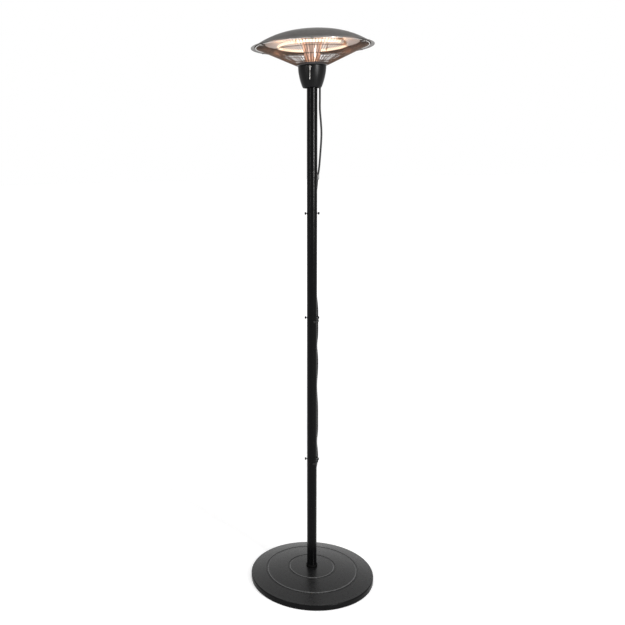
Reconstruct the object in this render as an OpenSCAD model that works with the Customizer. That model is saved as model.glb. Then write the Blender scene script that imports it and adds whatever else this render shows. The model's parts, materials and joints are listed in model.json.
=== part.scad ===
// Free-standing electric patio heater: a ring lamp under a dome shade, on a slim pole and a round base.
// Units are millimetres, +Z is up. The origin is the centre of the base's underside, on the floor.
// The front faces -Y.

/* [Base] */
// Diameter of the round base
base_d = 488; // [470:1:510]
// Height of the base cover's rounded edge above the floor
base_edge_h = 24; // [22:1:30]
// Height of the base cover at its centre
base_h = 49; // [44:1:56]
// Radius of the inner pressed groove
groove_inner_r = 92; // [80:1:110]
// Radius of the outer pressed groove
groove_outer_r = 181; // [160:1:200]
// Thickness of the pressed base cover
cover_t = 2.5; // [2:0.5:3]

/* [Pole] */
// Outer diameter of the pole
pole_d = 38; // [36:0.5:38]
// Wall of the pole's tubes
pole_wall = 1.5; // [1.5:0.1:1.8]
// Height of the lower joint's screws
joint_low_z = 506; // [480:1:530]
// Height of the middle joint's screws
joint_mid_z = 1072; // [1040:1:1100]
// Height of the upper joint's screws
joint_top_z = 1464; // [1440:1:1500]

/* [Collar] */
// Height of the collar's lower edge
collar_z = 1910; // [1905:1:1912]
// Radius of the collar's lower edge
collar_low_r = 33; // [32.8:0.1:34]
// Radius of the collar's upper edge
collar_top_r = 50; // [49.5:0.5:50]
// Wall of the collar
collar_wall = 1.6; // [1.4:0.1:1.6]

/* [Shade] */
// Diameter over the shade's brim
shade_d = 435; // [425:1:450]
// Rise of the dome above the brim's inner edge
dome_rise = 51.5; // [50:0.5:56]
// Width of the brim
brim_w = 12.5; // [10:0.5:15]
// Thickness of the shade's sheet
sheet_t = 1.5; // [1:0.1:1.8]
// Diameter of the reflector
reflector_d = 332; // [326:1:340]

/* [Guard] */
// Number of long radial wires, with a short one between each two
long_wires = 54; // [36:1:54]
// Diameter of the radial wires
wire_d = 2.2; // [1.6:0.1:2.4]
// Diameter of the rings
guard_ring_d = 3; // [2.5:0.1:3.2]

/* [Lamp] */
// Radius of the ring lamp's centre line
lamp_r = 120; // [115:1:125]
// Diameter of the lamp's quartz tube
lamp_tube_d = 10; // [9:0.5:10.5]

/* [Pull cord] */
// Travel of the pull cord
pull_travel = 10; // [6:1:10]
// Length of the pull cord's knob
knob_l = 29; // [20:1:34]

/* [Cable] */
// Diameter of the mains cable
cable_d = 7; // [6.5:0.1:7]
// Length of the hank's straight runs
hank_run = 90; // [80:1:96]

/* [Hidden] */
$fn = 96;

// Base
base_r = base_d / 2;
foot_h = 1.5;
foot_w = 18;
plate_t = 2;
edge_round = 5;
groove_w = 5;
groove_depth = 1.4;
bolt_r = 6;
bolt_head_z = 6;
bolt_head_h = 8;
washer_t = 2;
insert_h = 40;
foot_collar_h = 10;

// Pole
pole_r = pole_d / 2;
pole_in_r = pole_r - pole_wall;
seam = 12;
sleeve_h = 110;
sleeve_wall = 2.5;
screw_r = 2.5;
screw_head_r = 5;
screw_gap = 3;
screw_head_h = 5.5;
pole_top_z = 1960;
joint_zs = [joint_low_z, joint_mid_z, joint_top_z];

// Collar and what it holds
collar_h = 75;
collar_top_z = collar_z + collar_h;
floor_z = collar_z + 18;
floor_t = 3;
lip_t = 3;
flange_r = 36;
flange_t = 5;
flange_z = pole_top_z;
socket_depth = 45;
standoff_at = [for (a = [30, 150, 210, 330]) 26 * [cos(a), sin(a)]];
collar_screw_at = [for (a = [90, 210, 330]) 42 * [cos(a), sin(a)]];
standoff_z = flange_z + flange_t;
plate_z = collar_top_z;
plate_sheet = 2;
plate_top_z = plate_z + 8;
plate_low_r = 50;
plate_mid = [54.6, plate_z + 1.6];
plate_top_r = 57;

// Pull switch: the cord leaves the collar level and hangs in front of it
pull_x = -8;
pull_y = -54.5;
outlet_y = 0.4 - collar_top_r;
outlet_z = collar_z + 68;
outlet_low_z = outlet_z - pull_travel - 2;
knob_top_z = outlet_low_z - 4;
cord_r = 0.7;
slider_r = 1.95;
slider_front_y = -32.5;

// Cable exit
gland_x = 27.6;
gland_tip_z = collar_z - 5;
cable_r = cable_d / 2;

// Head
brim_z = collar_z + 140;
cap_r = shade_d / 2 - brim_w;
cap_z = brim_z + 4;
tube_r = 10;
nut_r = 15;
nut_t = 5;
waist_z = collar_z + 105;
column_top_z = collar_z + 166;
reflector_t = 1.2;
top_plate_z = column_top_z + 8;
top_plate_t = 2;
shield_t = 1;
dome_screw_at = [for (a = [90, 210, 330]) 40 * [cos(a), sin(a)]];

// Guard
guard_low = [plate_mid.x - 0.2, plate_mid.y + 0.2];
guard_top = [199, brim_z + 2.5];
short_from_r = 112;
ring_radii = [70, short_from_r, 155, 199];

// Lamp
lamp_z = collar_z + 143;
lamp_gap_at = -27;
lamp_gap = 9;
cap_from = 3.5;

// Cable route: centre line from the gland to the hank, hand-set points
route = [
    [27.6, 0, 1905], [27.6, 0, 1870], [27.6, 0, 1838], [29.5, 1, 1812], [31.5, 2, 1789], [33.5, 2, 1754],
    [32.5, 3, 1719], [30.5, 5, 1690], [28.5, 7, 1662], [24.5, 8, 1620], [20.5, 9.5, 1595], [17, 15, 1560],
    [13, 19, 1510], [11, 20, 1464], [11, 20, 1400], [11, 20, 1300], [12, 19.5, 1200], [16, 16, 1150],
    [20, 10.5, 1110], [20.5, 9.5, 1060], [20, 10.5, 1000], [17, 15, 960], [20, 10.5, 915],
    [20, 10.5, 865], [16.5, 15.5, 800], [20, 10.5, 725], [20.5, 9.5, 665], [20, 10.5, 615],
    [17, 15, 570], [20, 10.5, 535], [20.5, 9.5, 505], [18, 14, 478], [14, 19, 450], [13, 24.5, 420],
    [13.2, 31, 387], [13.2, 34.5, 362]
];
tail_route = [[0, 28, 242], [0, 29, 228], [0, 32, 210], [0, 37, 190], [0, 40, 170]];
hank_y = 56;
hank_z = 300;
hank_r = 28;
hank_half_w = 16.7;
tie_w = 16;
tie_t = 1.5;
plug_y = 40;
plug_top_z = 170;
plug_relief_h = 25;
plug_body_h = 48;
plug_r = 18;
pin_l = 19;
pin_r = 2.4;

// Height of the base cover's top face at radius r, grooves left out
function base_top(r) = base_h - (base_h - base_edge_h) * pow(r / (base_r - edge_round), 2.2);

// Depth of the two grooves at radius r
function groove(r, at) = abs(r - at) < groove_w / 2 ? groove_depth * cos(180 * (r - at) / groove_w) : 0;
function cover_top(r) = base_top(r) - groove(r, groove_inner_r) - groove(r, groove_outer_r);

// Radii at which the cover's profile turns
function groove_steps(at) = [for (k = [-3:3]) at + k * groove_w / 6];
function cover_radii() = concat(
    [bolt_r + 1, 40, 65], groove_steps(groove_inner_r), [115, 135, 155],
    groove_steps(groove_outer_r), [205, 220, 231, base_r - edge_round]
);

// Outer radius of the collar at height z, which swells from its mouth to its top
function collar_r(z) =
    collar_low_r + (collar_top_r - collar_low_r) * pow(sin(90 * (z - collar_z) / collar_h), 0.85);

// Height of the dome's outer face at radius r
function dome_z(r) = cap_z + dome_rise * (1 - pow(r / cap_r, 2.5));

// Outer radius of the column at height z: a waist with a wide trumpet above it
function column_r(z) = z > waist_z
    ? 27.5 + 13 * pow((z - waist_z) / 57, 2)
    : 27.5 + 4 * pow((waist_z - z) / 28, 2);

// Height of the reflector's lower face at radius r
function reflector_z(r) = r < 44 ? column_top_z
    : r < 95 ? column_top_z + 4 * (r - 44) / 51
    : column_top_z + 4 - 18 * (r - 95) / (reflector_d / 2 - 95);

// Height of the guard's cone of wires at radius r
function guard_z(r) = guard_low.y + (guard_top.y - guard_low.y) * (r - guard_low.x) / (guard_top.x - guard_low.x);

// Smooth curve through a list of points, with n steps from each to the next
function spline_at(p, i, t) =
    let (n = len(p) - 1, a = p[max(i - 1, 0)], b = p[i], c = p[min(i + 1, n)], d = p[min(i + 2, n)])
    0.5 * (2 * b + (c - a) * t + (2 * a - 5 * b + 4 * c - d) * t * t + (3 * b - a - 3 * c + d) * t * t * t);
function spline(p, n) = concat([for (i = [0:len(p) - 2], k = [0:n - 1]) spline_at(p, i, k / n)], [p[len(p) - 1]]);
function unit(v) = v / norm(v);
function ring_of(centre, along, r, sides) =
    let (u = unit(cross(along, [0, 1, 0])), w = unit(cross(along, u)))
    [for (k = [0:sides - 1]) centre + r * (cos(360 * k / sides) * u + sin(360 * k / sides) * w)];

// Round tube swept along a list of points
module sweep(points, r, sides = 10) {
    n = len(points);
    rings = [for (i = [0:n - 1]) ring_of(points[i], points[min(i + 1, n - 1)] - points[max(i - 1, 0)], r, sides)];
    polyhedron(
        points = [for (ring = rings) each ring],
        faces = concat(
            [[for (k = [0:sides - 1]) k]],
            [for (i = [0:n - 2], k = [0:sides - 1])
                let (a = i * sides + k, b = i * sides + (k + 1) % sides) [a, a + sides, b + sides, b]],
            [[for (k = [sides - 1:-1:0]) (n - 1) * sides + k]]
        ),
        convexity = 4
    );
}

// Straight round rod between two points
module rod(a, b, r, fn = 16) {
    v = b - a;
    translate(a)
        rotate([0, acos(v.z / norm(v)), atan2(v.y, v.x)])
            cylinder(h = norm(v), r = r, $fn = fn);
}

module tube(z0, z1, r_out, r_in) {
    translate([0, 0, z0]) difference() {
        cylinder(h = z1 - z0, r = r_out);
        translate([0, 0, -1]) cylinder(h = z1 - z0 + 2, r = r_in);
    }
}

module disc(z, t, r) {
    translate([0, 0, z]) cylinder(h = t, r = r);
}

module hole(x, y, z, h, r) {
    translate([x, y, z]) cylinder(h = h, r = r, $fn = 32);
}

module foot_ring() {
    color([0.08, 0.08, 0.08]) tube(0, foot_h, base_r - 4, base_r - 4 - foot_w);
}

module base_plate() {
    color([0.15, 0.15, 0.15]) tube(foot_h, foot_h + plate_t, base_r - 4, 20);
}

module base_weight() {
    low = foot_h + plate_t;
    outer = base_r - cover_t - 3;
    steps = [12.5, 60, groove_inner_r, 135, groove_outer_r, 210, outer - 6];
    color([0.55, 0.54, 0.52]) rotate_extrude() polygon(concat(
        [[12.5 + 6, low], [outer, low], [outer, base_edge_h - cover_t - 3]],
        [for (i = [len(steps) - 1:-1:0]) [steps[i], base_top(steps[i]) - cover_t - groove_depth]],
        [[12.5, bolt_head_z + bolt_head_h + washer_t], [12.5 + 6, bolt_head_z + bolt_head_h + washer_t]]
    ));
}

module base_cover() {
    radii = cover_radii();
    last = base_r - edge_round;
    color([0.16, 0.16, 0.17]) rotate_extrude($fn = 128) polygon(concat(
        [for (r = radii) [r, cover_top(r)]],
        [for (a = [75:-15:0]) [last + edge_round * cos(a), base_edge_h - edge_round + edge_round * sin(a)]],
        [[base_r, foot_h], [base_r - cover_t, foot_h], [base_r - cover_t, base_edge_h - edge_round]],
        [[last, base_edge_h - cover_t]],
        [for (i = [len(radii) - 2:-1:0]) [radii[i], base_top(radii[i]) - cover_t]]
    ));
}

module base_bolt() {
    color([0.7, 0.7, 0.72]) {
        translate([0, 0, bolt_head_z]) cylinder(h = bolt_head_h, r = 11, $fn = 6);
        disc(bolt_head_z + bolt_head_h - 0.5, base_h + insert_h - 8 - bolt_head_z - bolt_head_h, bolt_r - 0.05);
    }
}

module base_washer() {
    z = bolt_head_z + bolt_head_h;
    color([0.75, 0.75, 0.76]) tube(z, z + washer_t, 17, bolt_r + 0.3);
}

module base_insert() {
    color([0.6, 0.6, 0.62]) tube(base_h, base_h + insert_h, pole_in_r - 0.05, bolt_r);
}

module foot_collar() {
    color([0.1, 0.1, 0.1]) rotate_extrude() polygon([
        [pole_r + 0.05, base_h], [pole_r + 2, base_h], [pole_r + 3, base_h + 1.5],
        [pole_r + 3, base_h + foot_collar_h - 2.5], [pole_r + 1, base_h + foot_collar_h],
        [pole_r + 0.05, base_h + foot_collar_h]
    ]);
}

// Tube of the pole, with the lower tube of each joint drilled for two screws
module pole_section(z0, z1, drill_z) {
    color([0.07, 0.07, 0.075]) difference() {
        tube(z0, z1, pole_r, pole_in_r);
        if (drill_z > 0)
            translate([-pole_r - 1, 0, drill_z]) rotate([0, 90, 0])
                cylinder(h = pole_d + 2, r = screw_r + 0.2, $fn = 32);
    }
}

module pole_section_1() {
    pole_section(base_h, joint_low_z + seam, joint_low_z);
}

module pole_section_2() {
    pole_section(joint_low_z + seam, joint_mid_z + seam, joint_mid_z);
}

module pole_section_3() {
    pole_section(joint_mid_z + seam, joint_top_z + seam, joint_top_z);
}

module pole_section_4() {
    pole_section(joint_top_z + seam, pole_top_z, floor_z + 12);
}

// Inner sleeve of a joint, tapped on both sides
module joint_sleeve(z) {
    color([0.5, 0.5, 0.52]) difference() {
        tube(z + seam - sleeve_h / 2, z + seam + sleeve_h / 2, pole_in_r - 0.05, pole_in_r - 0.05 - sleeve_wall);
        translate([-pole_r, 0, z]) rotate([0, 90, 0]) cylinder(h = pole_d, r = screw_r, $fn = 32);
    }
}

module joint_sleeve_1() {
    joint_sleeve(joint_low_z);
}

module joint_sleeve_2() {
    joint_sleeve(joint_mid_z);
}

module joint_sleeve_3() {
    joint_sleeve(joint_top_z);
}

module joint_screw(z, side) {
    translate([0, 0, z]) rotate([0, side * 90, 0]) {
        translate([0, 0, pole_in_r - 4])
            cylinder(h = 4 + pole_wall + screw_gap + 1, r = screw_r - 0.05, $fn = 32);
        translate([0, 0, pole_r + screw_gap]) rotate_extrude($fn = 48) polygon([
            [0, 0], [screw_head_r - 0.6, 0], [screw_head_r, 0.6], [screw_head_r, screw_head_h - 1.6],
            [screw_head_r - 1.6, screw_head_h], [0, screw_head_h]
        ]);
    }
}

module joint_screws() {
    color([0.09, 0.09, 0.09]) for (z = joint_zs, side = [-1, 1]) joint_screw(z, side);
}

// Band that hugs the pole from one angle to another and loops round the cable
module cable_band(z, h, from, to, cable_at) {
    reach = 2 * pole_r;
    translate([0, 0, z - h / 2]) linear_extrude(h) difference() {
        union() {
            intersection() {
                circle(r = pole_r + 1.8);
                polygon([[0, 0], for (k = [0:4]) let (a = from + k * (to - from) / 4) reach * [cos(a), sin(a)]]);
            }
            translate(cable_at) circle(r = cable_r + 1.8);
        }
        circle(r = pole_r + 0.02);
        translate(cable_at) circle(r = cable_r + 0.1);
    }
}

module cable_saddle() {
    color([0.62, 0.62, 0.62]) cable_band(1595, 18, -8, 48, [20.5, 9.5]);
}

module cable_clip_mid() {
    color([0.08, 0.08, 0.08]) cable_band(joint_mid_z - 14, 8, -72, 50, [20.5, 9.5]);
}

module cable_clip_low() {
    color([0.08, 0.08, 0.08]) cable_band(joint_low_z - 14, 8, -80, 58, [19.3, 11.7]);
}

module collar_shell() {
    steps = [for (k = [0:12]) collar_z + k * collar_h / 12];
    color([0.09, 0.09, 0.095]) difference() {
        rotate_extrude() polygon(concat(
            [for (z = steps) [collar_r(z), z]],
            [[39, collar_top_z], [39, collar_top_z - lip_t]],
            [[collar_r(collar_top_z - lip_t) - collar_wall, collar_top_z - lip_t]],
            [for (k = [11:-1:0]) [collar_r(steps[k]) - collar_wall, steps[k]]]
        ));
        for (p = collar_screw_at) hole(p.x, p.y, collar_top_z - lip_t - 1, lip_t + 2, 1.5);
        translate([pull_x, outlet_y + 8, outlet_z]) rotate([90, 0, 0]) cylinder(h = 12, r = 3.25, $fn = 32);
    }
}

module collar_floor() {
    color([0.1, 0.1, 0.1]) difference() {
        tube(floor_z, floor_z + floor_t, collar_r(floor_z) - collar_wall - 0.1, pole_r + 0.05);
        hole(gland_x, 0, floor_z - 1, floor_t + 2, 5.05);
    }
}

module collar_screws() {
    color([0.7, 0.7, 0.72]) for (p = collar_screw_at) {
        hole(p.x, p.y, collar_top_z - lip_t - 3, lip_t + plate_sheet + 3.5, 1.45);
        translate([p.x, p.y, plate_z + plate_sheet]) cylinder(h = 1.8, r1 = 3, r2 = 2.2, $fn = 32);
    }
}

module head_socket() {
    color([0.6, 0.6, 0.62]) difference() {
        union() {
            disc(flange_z - socket_depth, socket_depth, pole_in_r - 0.05);
            disc(flange_z, flange_t, flange_r);
        }
        disc(flange_z - socket_depth - 1, socket_depth + flange_t + 2, 12);
        hole(gland_x, 0, flange_z - 1, flange_t + 2, 4.5);
        translate([-pole_r, 0, floor_z + 12]) rotate([0, 90, 0]) cylinder(h = pole_d, r = screw_r, $fn = 32);
    }
}

module head_socket_screws() {
    color([0.7, 0.7, 0.72]) for (side = [-1, 1]) translate([0, 0, floor_z + 12]) rotate([0, side * 90, 0]) {
        translate([0, 0, 12.5]) cylinder(h = pole_r - 12.5 + 0.5, r = screw_r - 0.05, $fn = 32);
        translate([0, 0, pole_r]) cylinder(h = 2.6, r1 = 4.6, r2 = 3.2, $fn = 32);
    }
}

module head_standoffs() {
    color([0.72, 0.72, 0.7]) for (p = standoff_at) difference() {
        hole(p.x, p.y, standoff_z, plate_z - standoff_z, 3.5);
        hole(p.x, p.y, standoff_z - 1, plate_z - standoff_z + 2, 2);
    }
}

module ring_plate() {
    color([0.3, 0.3, 0.31]) difference() {
        rotate_extrude() polygon([
            [tube_r + 0.05, plate_z], [plate_low_r, plate_z], plate_mid, [plate_top_r, plate_top_z],
            [plate_top_r - 2, plate_top_z], [plate_mid.x - 2, plate_mid.y + 1.4],
            [plate_low_r - 1.2, plate_z + plate_sheet],
            [tube_r + 0.05, plate_z + plate_sheet]
        ]);
        for (p = standoff_at) hole(p.x, p.y, plate_z - 1, plate_sheet + 2, 2.1);
        for (p = collar_screw_at) hole(p.x, p.y, plate_z - 1, plate_sheet + 2, 1.6);
    }
}

module plate_screws() {
    color([0.7, 0.7, 0.72]) for (p = standoff_at) {
        hole(p.x, p.y, plate_z - 10, 10 + plate_sheet + 0.5, 1.95);
        translate([p.x, p.y, plate_z + plate_sheet]) cylinder(h = 2, r1 = 3.2, r2 = 2.6, $fn = 32);
    }
}

module switch_body() {
    low = standoff_z;
    color([0.85, 0.84, 0.8]) difference() {
        translate([pull_x - 7, -30, low]) cube([14, 24, 17]);
        translate([pull_x, -12, outlet_z]) rotate([90, 0, 0]) cylinder(h = 20, r = slider_r + 0.05, $fn = 32);
    }
}

module switch_slider() {
    color([0.8, 0.2, 0.15]) {
        translate([pull_x, slider_front_y + 16, outlet_z]) rotate([90, 0, 0]) cylinder(h = 16, r = slider_r, $fn = 32);
        translate([pull_x, slider_front_y + 0.5, outlet_z]) rotate([90, 0, 0]) cylinder(h = 11, r = cord_r, $fn = 16);
    }
}

// Bent outlet tube: level through the collar's wall, then down
module cord_outlet() {
    bore = cord_r + 0.35;
    inner_y = outlet_y + 6.5;
    color([0.75, 0.75, 0.73]) difference() {
        union() {
            translate([pull_x, inner_y, outlet_z]) rotate([90, 0, 0]) cylinder(h = inner_y - pull_y, r = 2.2, $fn = 32);
            translate([pull_x, inner_y, outlet_z]) rotate([90, 0, 0]) cylinder(h = 6.6, r = 3.2, $fn = 32);
            translate([pull_x, outlet_y - 0.05, outlet_z]) rotate([90, 0, 0]) cylinder(h = 1.5, r = 4.2, $fn = 32);
            translate([pull_x, pull_y, outlet_z]) sphere(r = 2.2, $fn = 32);
            translate([pull_x, pull_y, outlet_low_z]) cylinder(h = outlet_z - outlet_low_z, r = 1.9, $fn = 32);
        }
        translate([pull_x, inner_y + 0.5, outlet_z]) rotate([90, 0, 0])
            cylinder(h = inner_y + 0.5 - pull_y + bore, r = bore, $fn = 32);
        translate([pull_x, pull_y, outlet_low_z - 1]) cylinder(h = outlet_z - outlet_low_z + 1, r = bore, $fn = 32);
    }
}

module pull_cord() {
    color([0.85, 0.85, 0.83])
        translate([pull_x, pull_y, knob_top_z - 1]) cylinder(h = outlet_z - 0.4 - knob_top_z, r = cord_r, $fn = 16);
}

module pull_knob() {
    color([0.7, 0.7, 0.7]) translate([pull_x, pull_y, knob_top_z]) rotate_extrude($fn = 32) polygon([
        [0, 0], [0.8, 0], [1, -2.5], [1.1, -knob_l / 2], [1.5, 3 - knob_l], [1.4, 0.8 - knob_l],
        [0.9, -knob_l], [0, -knob_l]
    ]);
}

module terminal_block() {
    color([0.9, 0.89, 0.85]) difference() {
        translate([-12, 12, standoff_z]) cube([24, 14, 12]);
        for (x = [-8, 0, 8]) hole(x, 19, standoff_z + 6, 8, 2);
    }
}

module tip_over_switch() {
    color([0.15, 0.15, 0.16]) translate([-28, 0, standoff_z]) {
        cylinder(h = 14, r = 6, $fn = 48);
        translate([0, 0, 14]) cylinder(h = 2.5, r = 2.5, $fn = 32);
    }
}

// Tapered sleeve that holds the cable where it leaves the collar
module strain_relief() {
    color([0.07, 0.07, 0.07]) difference() {
        translate([gland_x, 0, 0]) rotate_extrude($fn = 48) polygon([
            [0, gland_tip_z], [3.7, gland_tip_z], [3.75, collar_z + 1], [6.2, floor_z - 1], [6.6, floor_z], [5, floor_z],
            [5, floor_z + floor_t], [6.8, floor_z + floor_t], [6.8, floor_z + floor_t + 4],
            [0, floor_z + floor_t + 4]
        ]);
        translate([gland_x, 0, gland_tip_z - 1]) cylinder(h = 40, r = cable_r, $fn = 48);
    }
}

// Sheathed end of the cable inside the gland, its three wires and the two that feed the lamp
module supply_wires() {
    top = floor_z + 22;
    color([0.25, 0.25, 0.28]) {
        translate([gland_x, 0, gland_tip_z]) cylinder(h = top - gland_tip_z, r = cable_r - 0.02, $fn = 32);
        for (k = [-1, 0, 1]) sweep(spline([
            [gland_x, 2 * k, top], [gland_x, 2 * k, standoff_z + 1], [20, 3 + 2 * k, standoff_z + 5],
            [15.5, 8 + 2 * k, standoff_z + 6], [14, 15 + 2.6 * k, standoff_z + 6],
            [12, 19 + 2.6 * k, standoff_z + 6]
        ], 3), 0.85, 8);
        for (side = [-1, 1]) sweep(spline([
            [4 * side, 12, standoff_z + 8], [3.5 * side, 9, standoff_z + 10],
            [2.5 * side, 3, standoff_z + 15], [2 * side, 1, plate_z + 4]
        ], 3), 0.85, 8);
    }
}

module centre_tube() {
    color([0.65, 0.65, 0.66]) difference() {
        tube(plate_z, top_plate_z + top_plate_t + nut_t + 1, tube_r, tube_r - 1.5);
        rotate([0, 0, lamp_gap_at]) translate([0, 0, column_top_z + 4]) rotate([0, 90, 0])
            cylinder(h = 20, r = 3, $fn = 32);
    }
}

module tube_nuts() {
    color([0.7, 0.7, 0.72]) for (z = [plate_z + plate_sheet, top_plate_z + top_plate_t + shield_t])
        translate([0, 0, z]) difference() {
            cylinder(h = nut_t, r = nut_r, $fn = 6);
            translate([0, 0, -1]) cylinder(h = nut_t + 2, r = tube_r + 0.02);
        }
}

module column() {
    low = plate_z + plate_sheet;
    n = 16;
    zs = [for (k = [0:n]) low + k * (column_top_z - low) / n];
    color([0.75, 0.72, 0.7]) rotate_extrude() polygon(concat(
        [for (z = zs) [column_r(z), z]],
        [for (k = [n:-1:0]) [column_r(zs[k]) - 1.2, zs[k]]]
    ));
}

module reflector() {
    radii = [tube_r + 0.3, 44, 95, reflector_d / 2];
    color([0.85, 0.8, 0.76]) difference() {
        rotate_extrude() polygon(concat(
            [for (r = radii) [r, reflector_z(r)]],
            [for (k = [3:-1:0]) [radii[k], reflector_z(radii[k]) + reflector_t]]
        ));
        rotate([0, 0, lamp_gap_at]) hole(88, 0, column_top_z - 2, 12, 5);
    }
}

module top_plate() {
    color([0.62, 0.62, 0.64]) difference() {
        tube(top_plate_z, top_plate_z + top_plate_t, 47, tube_r + 0.1);
        for (p = dome_screw_at) hole(p.x, p.y, top_plate_z - 1, top_plate_t + 2, 2);
    }
}

module heat_shield() {
    z = top_plate_z + top_plate_t;
    color([0.7, 0.7, 0.7]) difference() {
        tube(z, z + shield_t, 96, tube_r + 0.1);
        for (p = dome_screw_at) hole(p.x, p.y, z - 1, shield_t + 2, 2.3);
    }
}

module dome_shade() {
    n = 20;
    radii = [for (k = [0:n]) cap_r * k / n];
    tip_r = shade_d / 2;
    color([0.42, 0.42, 0.42]) difference() {
        rotate_extrude($fn = 128) polygon(concat(
            [for (r = radii) [r, dome_z(r)]],
            [[tip_r - 0.7, brim_z + 0.3], [tip_r, brim_z - 0.4], [tip_r - 0.7, brim_z - 1.1]],
            [for (k = [n:-1:0]) [radii[k], dome_z(radii[k]) - sheet_t]]
        ));
        for (p = dome_screw_at) hole(p.x, p.y, cap_z, dome_rise + 10, 2.2);
    }
}

module dome_spacers() {
    z = top_plate_z + top_plate_t + shield_t;
    color([0.7, 0.7, 0.7]) for (p = dome_screw_at) difference() {
        hole(p.x, p.y, z, dome_z(45.5) - sheet_t - z, 5);
        hole(p.x, p.y, z - 1, 40, 2.2);
    }
}

module dome_screws() {
    color([0.3, 0.3, 0.3]) for (p = dome_screw_at) {
        hole(p.x, p.y, top_plate_z - 2, dome_z(36) + 0.3 - top_plate_z + 2, 1.95);
        translate([p.x, p.y, dome_z(35.4)]) cylinder(h = 1.8, r1 = 4.6, r2 = 3.4, $fn = 32);
    }
}

// Radial wire of the guard's cone from radius r to the outer ring
module guard_wire(r, angle) {
    rotate([0, 0, angle]) rod([r, 0, guard_z(r)], [guard_top.x + 1, 0, guard_z(guard_top.x + 1)], wire_d / 2, 16);
}

module guard_wires() {
    step = 360 / long_wires;
    color([0.72, 0.7, 0.68]) for (k = [0:long_wires - 1]) {
        guard_wire(guard_low.x, k * step);
        guard_wire(short_from_r - 1, (k + 0.5) * step);
    }
}

module guard_rings() {
    offset = (wire_d + guard_ring_d) / 2 - 0.3;
    slope = atan2(guard_top.y - guard_low.y, guard_top.x - guard_low.x);
    color([0.72, 0.7, 0.68]) for (r = ring_radii) {
        up = r == guard_top.x ? -offset : offset;
        rotate_extrude() translate([r - up * sin(slope), guard_z(r) + up * cos(slope)])
            circle(d = guard_ring_d, $fn = 24);
    }
}

// Small sheet-metal clips that hold the guard's outer ring under the brim
module guard_clips() {
    color([0.5, 0.5, 0.5]) for (a = [30:60:330]) rotate([0, 0, a]) {
        translate([0, 5, 0]) rotate([90, 0, 0]) linear_extrude(10) polygon([
            [194, brim_z - 3.2], [204, brim_z - 3.2], [207, brim_z - 0.6], [212.5, brim_z - 0.6],
            [212.5, brim_z - 1.8], [207.5, brim_z - 1.8], [204.6, brim_z - 4.4], [194, brim_z - 4.4]
        ]);
        translate([210, 0, brim_z - 3.8]) cylinder(h = 5.4, r = 2, $fn = 24);
    }
}

// Arc of a round bar round the lamp's axis, from angle a over angle span
module lamp_arc(a, span, r) {
    translate([0, 0, lamp_z]) rotate([0, 0, a]) rotate_extrude(angle = span)
        translate([lamp_r, 0]) circle(r = r, $fn = 32);
}

module lamp_tube() {
    color([0.95, 0.85, 0.7, 0.5]) difference() {
        lamp_arc(lamp_gap_at + lamp_gap, 360 - 2 * lamp_gap, lamp_tube_d / 2);
        lamp_arc(lamp_gap_at + lamp_gap - 1, 362 - 2 * lamp_gap, lamp_tube_d / 2 - 1);
    }
}

module lamp_filament() {
    color([1, 0.75, 0.4]) lamp_arc(lamp_gap_at + lamp_gap - 1, 362 - 2 * lamp_gap, 1.6);
}

module lamp_end_caps() {
    inner = lamp_tube_d / 2 + 0.05;
    color([0.92, 0.9, 0.85]) for (side = [0, 1]) {
        a = side == 0 ? lamp_gap_at + cap_from : lamp_gap_at - lamp_gap - 3;
        difference() {
            lamp_arc(a, lamp_gap + 3 - cap_from, 7);
            lamp_arc(side == 0 ? a + 5.5 - 1 : a - 1, lamp_gap + 1 - cap_from, inner);
        }
    }
}

// Slanted steel holder between the lamp's two ends, hung from the reflector
module lamp_bracket() {
    color([0.55, 0.42, 0.32]) rotate([0, 0, lamp_gap_at]) translate([0, 5, 0]) rotate([90, 0, 0])
        linear_extrude(10) polygon([
            [94, reflector_z(94) - 0.3], [108, reflector_z(108) - 0.3], [133, lamp_z - 6], [128, lamp_z - 9],
            [112, lamp_z - 9], [108, lamp_z + 4]
        ]);
}

// Spring clips that hang the lamp from the reflector
module lamp_clips() {
    color([0.65, 0.62, 0.6]) for (a = [63, 153, 243]) rotate([0, 0, a]) {
        translate([lamp_r, 1.5, lamp_z]) rotate([90, 0, 0]) difference() {
            cylinder(h = 3, r = lamp_tube_d / 2 + 1.2, $fn = 48);
            translate([0, 0, -1]) cylinder(h = 5, r = lamp_tube_d / 2 + 0.1, $fn = 48);
        }
        translate([lamp_r - 1.5, -1.5, lamp_z + lamp_tube_d / 2 + 0.8])
            cube([3, 3, reflector_z(lamp_r + 1.5) - lamp_z - lamp_tube_d / 2 - 0.9]);
    }
}

module lamp_wires() {
    up = column_top_z;
    color([0.8, 0.78, 0.74]) rotate([0, 0, lamp_gap_at]) for (side = [-1, 1]) sweep(spline([
        [111.5, side * 12, lamp_z], [104, side * 9, lamp_z + 7], [90, side * 2.5, up - 4],
        [86, side * 2.2, up + 6], [70, side * 2, up + 6.2], [50, side * 1.6, up + 4.4],
        [14, side * 1.2, up + 4], [6, side * 2.5, up + 2], [5, side * 3, up - 10]
    ], 3), 0.9, 8);
}

// Saddle on the back of the pole that the hank's tie passes through
module cord_bracket() {
    slot = tie_t + 0.1;
    front = hank_y - hank_r - cable_r;
    color([0.09, 0.09, 0.09]) difference() {
        translate([-9, pole_r - 3, hank_z - 14]) cube([18, front - pole_r + 3, 28]);
        translate([0, 0, hank_z - 15]) cylinder(h = 30, r = pole_r + 0.02);
        translate([-10, front - tie_t - 0.2, hank_z - tie_w / 2 - 0.1]) cube([20, slot + 0.2, tie_w + 0.2]);
    }
}

module mains_cable() {
    color([0.06, 0.06, 0.06]) sweep(spline(route, 2), cable_r);
}

module cable_tail() {
    color([0.06, 0.06, 0.06]) sweep(spline(tail_route, 2), cable_r);
}

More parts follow.
